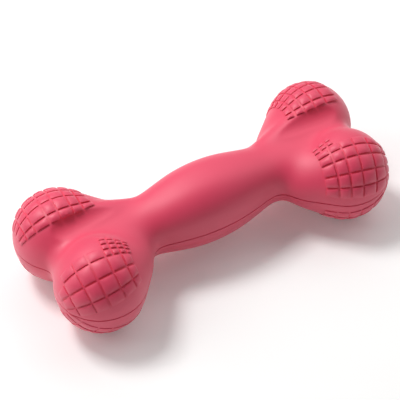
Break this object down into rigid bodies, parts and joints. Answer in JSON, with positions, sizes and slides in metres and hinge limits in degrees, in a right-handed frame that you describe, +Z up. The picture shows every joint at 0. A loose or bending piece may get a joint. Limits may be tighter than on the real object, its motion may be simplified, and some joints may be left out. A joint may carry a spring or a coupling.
{
  "type": "dog chew bone",
  "caption": "Hollow rubber chew bone for dogs with waffle-textured lobes, moulded as bonded half shells round a foam core and a squeaker.",
  "frame": {"origin": "centre of the bone in plan, on the surface that its four lower lobes rest on", "axes": "+X along the bone, +Y across it, +Z up"},
  "size_m": [0.157, 0.0694, 0.0408],
  "materials": {
    "rubber": "soft matte moulded rubber, coral pink all through",
    "foam": "open-cell foam, matte",
    "white_plastic": "thin moulded plastic, satin",
    "film": "thin springy film"
  },
  "bodies": {
    "root": {"upper_shell": "rubber", "lower_shell": "rubber", "upper_core": "foam", "lower_core": "foam", "squeaker_bulb": "white_plastic", "squeaker_reed_seat": "white_plastic", "squeaker_reed_cover": "white_plastic", "squeaker_reed": "film"}
  },
  "joints": []
}
